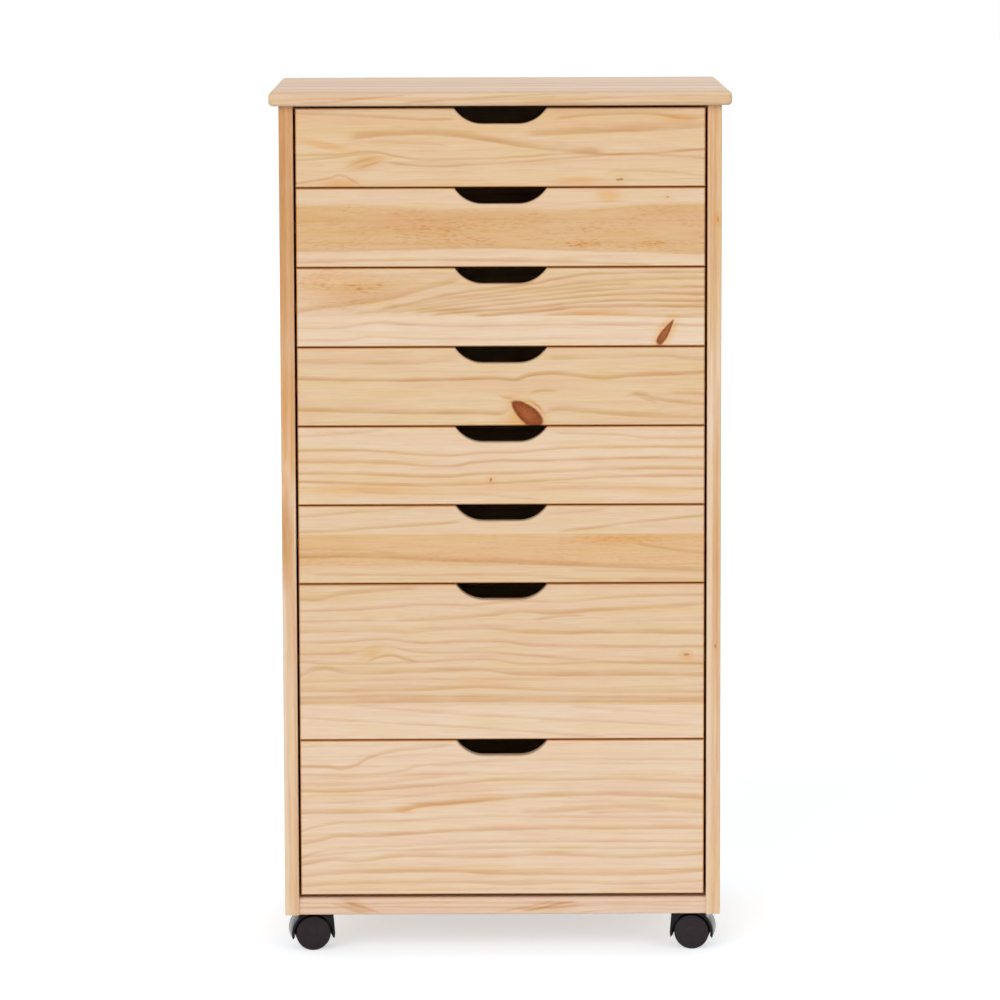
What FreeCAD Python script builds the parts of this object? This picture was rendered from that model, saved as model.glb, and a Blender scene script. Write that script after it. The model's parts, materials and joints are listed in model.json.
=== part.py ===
import FreeCAD, Part
import os
from math import acos, cos, pi, sin

# Rolling drawer cart in solid pine: six shallow and two deep drawers under an overhanging top, on four
# twin wheel casters. Millimetres. X runs to the viewer's right, Y to the back and Z up. The origin is on
# the floor, under the middle of the top board.

# Carcass
body_width = 498.0
body_depth = 378.0
side_thickness = 16.0
side_edge_chamfer = 1.0
top_thickness = 16.0
top_overhang_side = 11.0
top_overhang_front = 13.0
top_edge_round = 5.0
top_corner_round = 6.0
base_thickness = 19.5
base_setback = 3.0
base_edge_round = 5.0
base_foot_chamfer = 1.0
back_thickness = 4.0
back_rabbet_width = 8.0
back_panel_fit = 0.5
cleat_width = 18.0
cleat_room = 2.5
cleat_setback = 20.0

# Drawer stack, from the top down
small_front_height = 88.55
large_front_height = 178.55
small_drawer_count = 6
large_drawer_count = 2
top_gap = 2.8
front_gap = 1.4
bottom_gap = 4.5
side_gap = 2.8

# Drawer fronts and their scooped finger pulls
front_thickness = 15.0
front_edge_chamfer = 1.2
pull_flat_width = 40.0
pull_corner_radius = 38.0
pull_depth = 18.0

# Drawer boxes behind the fronts
box_side_thickness = 12.0
box_back_thickness = 12.0
box_top_drop = 10.0
box_bottom_rise = 6.0
box_rear_gap = 12.0
side_lap_depth = 8.0
floor_thickness = 4.0
floor_rise = 8.0
floor_groove_depth = 5.0
floor_groove_fit = 0.1
floor_edge_fit = 0.5

# Wooden runners on the carcass sides, in stopped grooves along the drawer sides
runner_height = 12.0
runner_setback = 18.0
runner_groove_depth = 6.0
runner_tip_play = 0.5
runner_top_play = 0.3
runner_bottom_play = 0.7
runner_stop_gap = 0.5
runner_end_gap = 2.0
runner_tip_chamfer = 2.0

# Casters: a moulded hood over two wheels that turn on one steel axle
caster_inset = 43.0
caster_trail = 14.0
caster_swing = 8.0
wheel_radius = 20.0
wheel_width = 12.5
wheel_face_wall = 1.5
wheel_side_gap = 0.5
hood_well_gap = 1.8
hood_wall = 3.2
hood_top_wall = 1.7
hood_web_thickness = 11.0
hood_rim_stand = 0.5
hood_stem_wall = 5.5
hood_skirt_drop = 8.0
hood_skirt_taper = 3.0
hood_web_drop = 2.5
hood_boss_wall = 3.5
axle_radius = 3.0
axle_end_gap = 0.5
turning_clearance = 0.06

# Threaded stems that hold the casters in the base board
stem_flange_flats = 13.0
stem_flange_thickness = 2.2
stem_pin_radius = 3.5
stem_pin_length = 19.5
stem_pin_end_gap = 0.4
stem_stud_radius = 4.0
stud_cover = 5.0
stud_end_gap = 1.0
stud_fit = 0.05
swivel_gap = 0.3

# Places that follow from the sizes
inner_width = body_width - 2 * side_thickness
front_width = inner_width - 2 * side_gap
front_heights = [small_front_height] * small_drawer_count + [large_front_height] * large_drawer_count
stack_height = sum(front_heights) + front_gap * (len(front_heights) - 1)
body_height = base_thickness + bottom_gap + stack_height + top_gap
hood_top = wheel_radius + hood_well_gap + hood_top_wall
caster_height = wheel_radius + hood_top + swivel_gap + stem_flange_thickness
body_bottom = caster_height
body_top = body_bottom + body_height
front_y = (top_overhang_front - body_depth) / 2
back_y = (top_overhang_front + body_depth) / 2
back_panel_y = back_y - back_thickness
front_back_y = front_y + front_thickness
box_rear_y = back_panel_y - box_rear_gap
box_half_width = front_width / 2 - box_side_thickness
runner_front_y = front_back_y + runner_setback

# Places of the casters, measured from the axle
stem_x = body_width / 2 - caster_inset
stem_front_y = front_y + caster_inset
stem_rear_y = back_y - caster_inset
hood_radius = wheel_radius + hood_well_gap + hood_wall
wheel_inner_y = hood_web_thickness / 2 + wheel_side_gap
wheel_outer_y = wheel_inner_y + wheel_width
hood_half_width = wheel_outer_y + hood_rim_stand
stem_side_reach = caster_trail + stem_pin_radius + hood_stem_wall
axle_reach = wheel_outer_y - wheel_face_wall
stud_hole_depth = base_thickness - stud_cover

UP = FreeCAD.Vector(0, 0, 1)
BACK = FreeCAD.Vector(0, 1, 0)


def box(x0, x1, y0, y1, z0, z1):
    """A block between two corners."""
    return Part.makeBox(x1 - x0, y1 - y0, z1 - z0, FreeCAD.Vector(x0, y0, z0))


def rod(radius, start, end):
    """A round bar from one point to another."""
    axis = end - start
    return Part.makeCylinder(radius, axis.Length, start, axis)


def prism_along_y(points, y0, y1):
    """A block with the outline of points, given as (x, z), from y0 to y1."""
    corners = [FreeCAD.Vector(x, y0, z) for x, z in points]
    outline = Part.makePolygon(corners + corners[:1])
    return Part.Face(outline).extrude(BACK * (y1 - y0))


def straight_edges(shape, chosen):
    """The edges of a shape whose two ends both pass the test."""
    return [edge for edge in shape.Edges if all(chosen(vertex.Point) for vertex in edge.Vertexes)]


def near(a, b):
    return abs(a - b) < 0.01


def write(name, *solids):
    """One file for each node. A node of several pieces keeps them as separate solids."""
    shape = solids[0] if len(solids) == 1 else Part.makeCompound(list(solids))
    shape.exportStep(os.path.join("parts", name + ".step"))


# Carcass


def top_board():
    """The overhanging top, with its front and side edges rounded over and its back edge square."""
    half = body_width / 2 + top_overhang_side
    y0 = front_y - top_overhang_front
    board = box(-half, half, y0, back_y, body_top, body_top + top_thickness)
    corners = straight_edges(board, lambda p: near(p.y, y0))
    board = board.makeFillet(top_corner_round, [e for e in corners if near(e.Length, top_thickness)])
    rims = []
    for edge in board.Edges:
        middle = edge.valueAt((edge.FirstParameter + edge.LastParameter) / 2)
        flat = near(edge.BoundBox.ZLength, 0)
        if flat and not near(middle.y, back_y):
            rims.append(edge)
    return board.makeFillet(min(top_edge_round, 0.45 * top_thickness), rims)


def side_panel(side):
    """A carcass side, with a rabbet for the back panel. side is -1 on the left and 1 on the right."""
    outer = side * body_width / 2
    inner = side * inner_width / 2
    x0, x1 = sorted((outer, inner))
    panel = box(x0, x1, front_y, back_y, body_bottom, body_top)
    front_edges = straight_edges(panel, lambda p: near(p.y, front_y))
    uprights = [e for e in front_edges if near(e.Length, body_height)]
    panel = panel.makeChamfer(side_edge_chamfer, uprights)
    r0, r1 = sorted((inner, inner + side * back_rabbet_width))
    return panel.cut(box(r0, r1, back_panel_y, back_y, body_bottom, body_top))


def base_board():
    """The bottom board between the sides. Its front edge is the rail under the lowest drawer."""
    y0 = front_y + base_setback
    z1 = body_bottom + base_thickness
    board = box(-inner_width / 2, inner_width / 2, y0, back_panel_y, body_bottom, z1)
    rail_edge = straight_edges(board, lambda p: near(p.y, y0) and near(p.z, z1))
    board = board.makeFillet(base_edge_round, rail_edge)
    foot_edge = straight_edges(board, lambda p: near(p.y, y0) and near(p.z, body_bottom))
    board = board.makeChamfer(base_foot_chamfer, foot_edge)
    for x, y, turn in caster_places():
        foot = FreeCAD.Vector(x, y, body_bottom)
        board = board.cut(rod(stem_stud_radius + stud_fit, foot, foot + UP * stud_hole_depth))
    return board


def back_panel():
    """A thin plywood panel, let into the rabbets of the sides."""
    half = inner_width / 2 + back_rabbet_width - back_panel_fit
    return box(-half, half, back_panel_y, back_y, body_bottom, body_top)


def top_cleat(side):
    """A strip along the head of a side, through which the top is screwed down."""
    x0, x1 = sorted((side * inner_width / 2, side * (inner_width / 2 - cleat_width)))
    y0 = front_back_y + cleat_setback
    height = top_gap + box_top_drop - cleat_room
    return box(x0, x1, y0, back_panel_y, body_top - height, body_top)


# Drawers


def drawer_heights(number):
    """The lower and upper edge of a drawer front. Drawer 1 is at the top."""
    above = sum(front_heights[: number - 1]) + front_gap * (number - 1)
    upper = body_top - top_gap - above
    return upper - front_heights[number - 1], upper


def box_heights(number):
    """The lower and upper edge of the box behind a front."""
    lower, upper = drawer_heights(number)
    return lower + box_bottom_rise, upper - box_top_drop


def runner_heights(number):
    """The lower and upper face of the two runners that carry a drawer, half way up its box."""
    lower, upper = box_heights(number)
    middle = (lower + upper) / 2
    return middle - runner_height / 2, middle + runner_height / 2


def floor_space(number, edge, faces):
    """The space of a drawer floor, with room at its edges and over its faces."""
    z0 = box_heights(number)[0] + floor_rise
    half = box_half_width + floor_groove_depth
    y0 = front_back_y - floor_groove_depth
    return box(-half - edge, half + edge, y0 - edge, box_rear_y, z0 - faces, z0 + floor_thickness + faces)


def pull_scoop(upper):
    """The scoop of a finger pull: a flat floor between two arcs that run out at the top of the front."""
    half_flat = pull_flat_width / 2
    centre_z = upper - pull_depth + pull_corner_radius
    sweep = acos((centre_z - upper) / pull_corner_radius)

    def on_arc(side, angle):
        across = half_flat + pull_corner_radius * sin(angle)
        return FreeCAD.Vector(side * across, front_y, centre_z - pull_corner_radius * cos(angle))

    left = Part.Arc(on_arc(-1, sweep), on_arc(-1, sweep / 2), on_arc(-1, 0)).toShape()
    floor = Part.LineSegment(on_arc(-1, 0), on_arc(1, 0)).toShape()
    right = Part.Arc(on_arc(1, 0), on_arc(1, sweep / 2), on_arc(1, sweep)).toShape()
    left_end = on_arc(-1, sweep)
    right_end = on_arc(1, sweep)
    lid = Part.makePolygon([right_end, right_end + UP * pull_depth, left_end + UP * pull_depth, left_end])
    outline = Part.Wire([left, floor, right] + lid.Edges)
    return Part.Face(outline).extrude(BACK * front_thickness)


def drawer_front(number):
    """A front, eased all round and round its finger pull, with laps for the sides and a floor groove."""
    lower, upper = drawer_heights(number)
    half = front_width / 2
    front = box(-half, half, front_y, front_back_y, lower, upper)
    front = front.cut(pull_scoop(upper))
    front = front.makeChamfer(front_edge_chamfer, straight_edges(front, lambda p: near(p.y, front_y)))
    z0, z1 = box_heights(number)
    y0 = front_back_y - side_lap_depth
    for side in (-1, 1):
        x0, x1 = sorted((side * box_half_width, side * half))
        front = front.cut(box(x0, x1, y0, front_back_y, z0, z1))
    return front.cut(floor_space(number, floor_edge_fit, floor_groove_fit))


def drawer_side(number, side):
    """A drawer side, grooved inside for the floor and outside for its runner.

    The runner's groove is open at the back. Its front end stops the drawer when it is pushed in.
    """
    z0, z1 = box_heights(number)
    outer = side * front_width / 2
    inner = side * box_half_width
    x0, x1 = sorted((outer, inner))
    y0 = front_back_y - side_lap_depth
    board = box(x0, x1, y0, box_rear_y, z0, z1)
    r0, r1 = runner_heights(number)
    g0, g1 = sorted((outer, outer - side * runner_groove_depth))
    groove_y = runner_front_y - runner_stop_gap
    board = board.cut(box(g0, g1, groove_y, box_rear_y, r0 - runner_bottom_play, r1 + runner_top_play))
    return board.cut(floor_space(number, floor_edge_fit, floor_groove_fit))


def drawer_back(number):
    """The back of a drawer, which stands on the floor between the two sides."""
    z0, z1 = box_heights(number)
    foot = z0 + floor_rise + floor_thickness
    return box(-box_half_width, box_half_width, box_rear_y - box_back_thickness, box_rear_y, foot, z1)


def drawer_floor(number):
    """The thin plywood floor, held by the grooves of the front and the sides."""
    return floor_space(number, 0, 0)


def runner(number, side):
    """A hardwood strip on the inside of the carcass, which carries one side of a drawer."""
    z0, z1 = runner_heights(number)
    wall = side * inner_width / 2
    tip = wall - side * (side_gap + runner_groove_depth - runner_tip_play)
    x0, x1 = sorted((wall, tip))
    strip = box(x0, x1, runner_front_y, back_panel_y - runner_end_gap, z0, z1)
    tip_edges = straight_edges(strip, lambda p: near(p.x, tip) and near(p.y, runner_front_y))
    return strip.makeChamfer(runner_tip_chamfer, tip_edges)


# Casters. Each is modelled with its axle along Y at the origin and its stem towards +X.


def caster_places():
    """The swivel axis of each caster, with the turn that trails its wheels outwards and a bit forwards."""
    left = [(-stem_x, y, caster_swing) for y in (stem_front_y, stem_rear_y)]
    right = [(stem_x, y, 180 - caster_swing) for y in (stem_front_y, stem_rear_y)]
    return [left[0], right[0], left[1], right[1]]


def placed(shape, place):
    """Moves a caster piece from the axle's frame to its corner of the cart."""
    x, y, turn = place
    moved = shape.copy()
    moved.translate(FreeCAD.Vector(-caster_trail, 0, 0))
    moved.rotate(FreeCAD.Vector(0, 0, 0), UP, turn)
    moved.translate(FreeCAD.Vector(x, y, wheel_radius))
    return moved


def caster_hood():
    """The moulded hood: a shell round both wheels, squared at the stem, with a web between the wheels."""
    w = hood_half_width
    far = 4 * hood_radius
    hood = rod(hood_radius, BACK * -w, BACK * w)
    stem_side = [(0, 0), (hood_radius, 0), (stem_side_reach, hood_top), (0, hood_top)]
    hood = hood.fuse(prism_along_y(stem_side, -w, w)).removeSplitter()
    hood = hood.common(box(-far, far, -w, w, -far, hood_top))
    well_radius = wheel_radius + hood_well_gap
    web = hood_web_thickness / 2
    for side in (-1, 1):
        hood = hood.cut(rod(well_radius, BACK * (side * web), BACK * (side * 2 * w)))
    tip = (-hood_radius, -hood_skirt_drop)
    notch = (-well_radius, hood_skirt_taper - hood_skirt_drop)
    web_foot = (-well_radius, -hood_web_drop)
    left = [(-far, -hood_skirt_drop), tip, notch, web_foot]
    right = [(-x, z) for x, z in reversed(left)]
    hood = hood.cut(prism_along_y(left + right + [(far, -far), (-far, -far)], -2 * w, 2 * w))
    hood = hood.fuse(rod(axle_radius + hood_boss_wall, BACK * -web, BACK * web)).removeSplitter()
    hood = hood.cut(rod(axle_radius + turning_clearance, BACK * -w, BACK * w))
    socket_mouth = FreeCAD.Vector(caster_trail, 0, hood_top)
    socket_depth = stem_pin_length - swivel_gap + stem_pin_end_gap
    return hood.cut(rod(stem_pin_radius + turning_clearance, socket_mouth - UP * socket_depth, socket_mouth))


def caster_wheel(side):
    """One of the twin wheels, with a blind bore for the axle. side is -1 in front and 1 behind."""
    wheel = rod(wheel_radius, BACK * (side * wheel_inner_y), BACK * (side * wheel_outer_y))
    return wheel.cut(rod(axle_radius + turning_clearance, BACK * 0, BACK * (side * axle_reach)))


def caster_axle():
    """The steel axle through the web, with an end in each wheel."""
    end = axle_reach - axle_end_gap
    return rod(axle_radius, BACK * -end, BACK * end)


def caster_stem():
    """The stem: a threaded stud, a hexagon flange under the base board and the pin the hood turns on."""
    axis = FreeCAD.Vector(caster_trail, 0, 0)
    flange_top = axis + UP * (caster_height - wheel_radius)
    flange_foot = flange_top - UP * stem_flange_thickness
    spoke = FreeCAD.Vector(stem_flange_flats / 2 / cos(pi / 6), 0, 0)
    turns = [FreeCAD.Rotation(UP, 60 * k) for k in range(6)]
    hexagon = [flange_foot + turn.multVec(spoke) for turn in turns]
    flange = Part.Face(Part.makePolygon(hexagon + hexagon[:1])).extrude(UP * stem_flange_thickness)
    pin = rod(stem_pin_radius, flange_foot - UP * stem_pin_length, flange_foot)
    stud = rod(stem_stud_radius, flange_top, flange_top + UP * (stud_hole_depth - stud_end_gap))
    return flange.fuse([pin, stud])


os.makedirs("parts", exist_ok=True)

write("top_board", top_board())
write("side_left", side_panel(-1))
write("side_right", side_panel(1))
write("base_board", base_board())
write("back_panel", back_panel())
write("top_cleats", top_cleat(-1), top_cleat(1))

numbers = range(1, len(front_heights) + 1)
write("runners_left", *[runner(number, -1) for number in numbers])
write("runners_right", *[runner(number, 1) for number in numbers])
for number in numbers:
    write(f"drawer_{number}_front", drawer_front(number))
    write(f"drawer_{number}_sides", drawer_side(number, -1), drawer_side(number, 1))
    write(f"drawer_{number}_back", drawer_back(number))
    write(f"drawer_{number}_floor", drawer_floor(number))

corners = ["front_left", "front_right", "rear_left", "rear_right"]
for corner, place in zip(corners, caster_places()):
    write(f"caster_{corner}_hood", placed(caster_hood(), place))
    write(f"caster_{corner}_axle", placed(caster_axle(), place))
    write(f"caster_{corner}_wheel_1", placed(caster_wheel(-1), place))
    write(f"caster_{corner}_wheel_2", placed(caster_wheel(1), place))
write("caster_stems", *[placed(caster_stem(), place) for place in caster_places()])
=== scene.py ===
import json
import random
from collections import namedtuple
from math import atan2, cos, pi, radians, sin, sqrt

import bmesh
import bpy
from mathutils import Matrix, Vector


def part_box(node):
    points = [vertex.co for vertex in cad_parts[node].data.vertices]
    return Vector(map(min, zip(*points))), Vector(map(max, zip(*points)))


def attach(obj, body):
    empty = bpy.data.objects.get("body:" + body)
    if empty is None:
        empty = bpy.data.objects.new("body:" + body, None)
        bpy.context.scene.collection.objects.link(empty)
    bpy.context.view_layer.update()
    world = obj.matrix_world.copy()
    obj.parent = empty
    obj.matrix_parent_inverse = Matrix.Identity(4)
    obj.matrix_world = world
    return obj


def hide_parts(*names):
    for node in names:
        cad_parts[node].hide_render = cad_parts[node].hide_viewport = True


# Looks of the rolling drawer cart: clear-lacquered pine boards glued up from staves, black twin-wheel
# casters, and the screws of the back panel. X runs to the viewer's right, Y to the back, Z up.
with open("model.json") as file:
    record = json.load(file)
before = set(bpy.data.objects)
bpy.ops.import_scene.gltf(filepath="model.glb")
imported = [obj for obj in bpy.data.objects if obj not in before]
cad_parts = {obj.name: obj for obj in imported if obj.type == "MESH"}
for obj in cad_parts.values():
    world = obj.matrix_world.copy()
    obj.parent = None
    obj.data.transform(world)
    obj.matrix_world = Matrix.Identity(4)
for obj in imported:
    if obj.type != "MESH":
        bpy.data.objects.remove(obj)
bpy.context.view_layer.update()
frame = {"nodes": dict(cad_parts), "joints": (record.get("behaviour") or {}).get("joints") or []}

MM = 0.001

# The faint pattern under the drawn rings, and how strongly, sharply and unevenly drawn rings show. One
# fades out over LINE_END, unless it ends within END_MARGIN of the board's end.
BACKGROUND_RINGS = 0.25
LINE_STRENGTH = 0.85
LINE_SHARPNESS = 1.2
LINE_RIPPLE = 1.6
LINE_END = 16.0
END_MARGIN = 15.0

# How far lines may be drawn past a board's edges, how soft the borders of staves are, a drawn one and a
# glued one, and how wide glued staves are
DRAWING_MARGIN = 20.0
DRAWN_BLUR = 4.5
GLUED_BLUR = 0.4
GLUED_WIDTH = 63.0
DRAWER_STAVE_WIDTH = 80.0

# Tones of the pine, as they show on a screen
PALE = (233, 206, 174)
BLUSH = (236, 210, 180)
CHALK = (238, 214, 188)
CREAM = (232, 204, 168)
WARM = (230, 199, 159)
TAN = (225, 187, 141)
HONEY = (229, 192, 147)
ROSE = (235, 209, 188)

# One glued stave of a board. Lengths are in millimetres: width across the board, the ring spacing on the
# face, the sideways drift of the rings, slope per length and bend per length squared, and the place of
# the tree's pith. line, fleck and shade say how strongly rings, short flecks and broad shading show. edge
# is the border to the next stave as points along it, where that isn't straight.
Stave = namedtuple(
    "Stave",
    "width tone spacing slope bend wave line fleck shade pith_across pith_depth edge",
    defaults=(WARM, 12.0, 0.0, 0.0, 7.0, 0.6, 0.0, 0.5, -320.0, 40.0, ()),
)

# A drawn growth ring: how strongly it shows, how softly it fades upwards, whether it is amber
# instead of brown, and its points along and across the board.
Line = namedtuple("Line", "strength softness amber points")

# A soft oval area, turned by an angle in degrees: its centre, its half length and half width, and how
# strongly it turns amber, dark and flecked. A negative amber makes it paler.
Patch = namedtuple("Patch", "along across long short angle amber dark fleck", defaults=(0.0, 0.5, 0.0, 0.0))

# A knot: its centre, half length and half width, angle, darkness, how far one end narrows and how
# strongly the wood round it glows. Along and across run from the board's middle and its lower edge, as
# in lines and patches.
Knot = namedtuple("Knot", "along across long short angle dark taper halo", defaults=(0.0, 1.0, 0.0, 0.6))

# All that a board shows, with its staves from the bottom up. force scales its drawn rings.
Drawn = namedtuple("Drawn", "staves lines patches knots force", defaults=((), (), (), 1.0))


def brown(strength, softness, *points):
    return Line(strength, softness, False, points)


def amber(strength, softness, *points):
    return Line(strength, softness, True, points)


def drawn_stave(width, tone, fleck=0.0, shade=0.4, edge=()):
    """A stave whose main rings are drawn, over a faint pattern of its own."""
    return Stave(width, tone, 11.0, 0.0, 0.0, 6.0, BACKGROUND_RINGS, fleck, shade, edge=edge)


def linear(colour):
    """A screen colour from 0 to 255 as the linear colour that shaders work with."""
    shares = [channel / 255 for channel in colour]
    return tuple(s / 12.92 if s <= 0.04045 else ((s + 0.055) / 1.055) ** 2.4 for s in shares) + (1.0,)


class Value:
    """What a node's socket gives at each point of a surface. Sums and products add nodes."""

    def __init__(self, graph, socket):
        self.graph = graph
        self.socket = socket

    def __add__(self, other):
        return self.graph.math("ADD", self, other)

    def __sub__(self, other):
        return self.graph.math("SUBTRACT", self, other)

    def __mul__(self, other):
        return self.graph.math("MULTIPLY", self, other)

    def __truediv__(self, other):
        return self.graph.math("DIVIDE", self, other)

    def __rsub__(self, other):
        return self.graph.math("SUBTRACT", other, self)

    __radd__ = __add__
    __rmul__ = __mul__


class Graph:
    """A node tree that is put together by formulas."""

    def __init__(self, tree):
        self.tree = tree

    def feed(self, socket, value):
        if isinstance(value, Value):
            self.tree.links.new(value.socket, socket)
        else:
            socket.default_value = value

    def node(self, kind, inputs, **settings):
        made = self.tree.nodes.new("ShaderNode" + kind)
        for name, value in settings.items():
            setattr(made, name, value)
        for name, value in inputs.items():
            self.feed(made.inputs[name], value)
        return made

    def value(self, kind, inputs, output=0, **settings):
        """What one output of a new node gives."""
        return Value(self, self.node(kind, inputs, **settings).outputs[output])

    def math(self, operation, *values):
        return self.value("Math", dict(enumerate(values)), operation=operation)

    def place(self):
        """The three coordinates of a point of the object, in millimetres."""
        split = self.node("SeparateXYZ", {0: self.value("TexCoord", {}, "Object")})
        return [Value(self, output) * (1 / MM) for output in split.outputs]

    def noise(self, x, y, z, detail=2.0, roughness=0.5):
        """Smooth noise about 0, mostly from -0.3 to 0.3, with features about 1 across."""
        point = self.value("CombineXYZ", {0: x, 1: y, 2: z})
        inputs = {"Vector": point, "Scale": 1.0, "Detail": detail, "Roughness": roughness}
        return self.value("TexNoise", inputs) - 0.5

    def chance(self, number):
        """A random number from 0 to 1 that stays the same for the same number."""
        return self.value("TexWhiteNoise", {"W": number}, noise_dimensions="1D")

    def rise(self, value, low, high):
        """0 below low, 1 above high and smooth between. With high below low it falls."""
        inputs = {"Value": value, "From Min": low, "From Max": high}
        return self.value("MapRange", inputs, interpolation_type="SMOOTHSTEP")

    def curve(self, value, stops):
        """A value from 0 to 1 turned into another by a list of places and results."""
        ramp = self.node("ValToRGB", {"Fac": value})
        elements = ramp.color_ramp.elements
        while len(elements) < len(stops):
            elements.new(0.5)
        for element, (place, result) in zip(elements, stops):
            element.position = place
            element.color = (result, result, result, 1.0)
        return Value(self, ramp.outputs["Color"])

    def blend(self, factor, first, second, mode="MIX"):
        """A colour between two others."""
        return self.value("Mix", {0: factor, 6: first, 7: second}, 2, data_type="RGBA", blend_type=mode)

    def tint(self, factor, colour, tint):
        """A colour darkened towards its product with another."""
        return self.blend(factor, colour, tint, "MULTIPLY")

    def bump(self, height, strength, distance):
        return self.value("Bump", {"Height": height, "Strength": strength, "Distance": distance})


def new_material(name):
    material = bpy.data.materials.new(name)
    material.use_nodes = True
    material.node_tree.nodes.clear()
    return material, Graph(material.node_tree)


def finish_material(graph, **sockets):
    """The surface of a material: one shader, with its sockets given by name."""
    inputs = {label.replace("_", " "): value for label, value in sockets.items()}
    graph.node("OutputMaterial", {"Surface": graph.value("BsdfPrincipled", inputs)})


# Pine


def growth_rings():
    """Pine as a solid texture, in millimetres: growth rings round a pith that drifts along the board."""
    tree = bpy.data.node_groups.new("growth_rings", "ShaderNodeTree")
    graph = Graph(tree)
    labels = "along across depth slope bend wave spacing pith_across pith_depth seed".split()
    for label in labels:
        tree.interface.new_socket(label, in_out="INPUT", socket_type="NodeSocketFloat")
    source = tree.nodes.new("NodeGroupInput")
    values = [Value(graph, source.outputs[label]) for label in labels]
    along, across, depth, slope, bend, wave, spacing, pith_across, pith_depth, seed = values

    swing = graph.noise(along / 190 + seed * 7.3, across / 85, depth / 85 + seed)
    ripple = graph.noise(along / 48 + seed * 3.1, across / 26, depth / 26 - seed)
    drift = along * slope + along * along * bend
    side = across - pith_across - drift + swing * wave * 2.6 + ripple * wave * 0.5
    below = depth + pith_depth
    radius = graph.math("SQRT", side * side + below * below)
    growth = radius / spacing
    growth = growth + graph.noise(growth * 0.55 + seed * 11.7, seed, 0.0, detail=1.0) * 1.9
    ring = graph.math("FLOOR", growth)
    phase = growth - ring

    # A ring darkens slowly through the summer and ends at a sharp edge
    stops = [(0.0, 0.12), (0.09, 0.02), (0.42, 0.03), (0.68, 0.22), (0.87, 1.0), (0.94, 0.9), (1.0, 0.12)]
    profile = graph.curve(phase, stops)
    strength = graph.chance(ring + seed * 53) * 0.75 + 0.25
    fade = graph.noise(along / 110 + ring * 3.7, seed, 0.0, detail=1.0) * 1.1 + 0.95
    line = profile * strength * fade

    shade = graph.noise(along / 260 + seed * 5.1, across / 21, depth / 21 + seed, detail=3.0) + 0.5
    hue = graph.noise(along / 120 - seed * 2.3, across / 9, depth / 9 - seed) + 0.5
    fibre = graph.noise(along / 38 + seed, across / 1.3, depth / 1.3, detail=3.0, roughness=0.65) + 0.5
    spot = graph.noise(along / 8 + seed, across / 1.5, depth / 1.5 + seed * 9.1, detail=2.0) + 0.5
    crowd = graph.noise(along / 55 - seed, across / 16, depth / 16 + seed, detail=1.0)
    fleck = graph.rise(spot, 0.44, 0.76) * graph.rise(crowd, -0.22, 0.10)
    streak = graph.noise(along / 16 + seed, across / 2.2, depth / 2.2 - seed, detail=2.0) + 0.5
    results = {"line": line, "shade": shade, "hue": hue, "fibre": fibre, "fleck": fleck, "streak": streak}
    for label in results:
        tree.interface.new_socket(label, in_out="OUTPUT", socket_type="NodeSocketFloat")
    target = tree.nodes.new("NodeGroupOutput")
    for label, value in results.items():
        graph.feed(target.inputs[label], value)
    return tree


RINGS = growth_rings()
STAVE_SEED = 0.37

# What the wood is tinted with, and the colours of a knot from its middle outwards
SHADE_TINT = linear((250, 235, 212))
ROSE_TINT = linear((253, 243, 241))
GOLD_TINT = linear((252, 248, 228))
BROWN_LINE = linear((228, 200, 160))
AMBER_LINE = linear((228, 196, 152))
FLECK_TINT = linear((234, 206, 168))
FIBRE_TINT = linear((238, 222, 200))
GLOW_TINT = linear((252, 227, 186))
DARK_TINT = linear((205, 176, 142))
# Painted shade for the dark gaps between drawer fronts, laid on the fronts' edges
GAP_SHADE_TINT = linear((232, 190, 142))
KNOT_HEART = linear((164, 88, 46))
KNOT_BODY = linear((146, 72, 10))
KNOT_RIM = linear((128, 54, 6))

# How far a knot's glow reaches past it, how much the lacquer shines, and where the painted shade on a
# drawer front's edges, standing for the shadow in the gaps between fronts, is full and where it has gone:
# in from the edge and back from the face
KNOT_HALO = 5.0
LACQUER = 0.3
GAP_SHADE_FULL_INSET = 0.6
GAP_SHADE_GONE_INSET = 1.5
GAP_SHADE_FULL_DEPTH = 4.0
GAP_SHADE_GONE_DEPTH = 9.0


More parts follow.
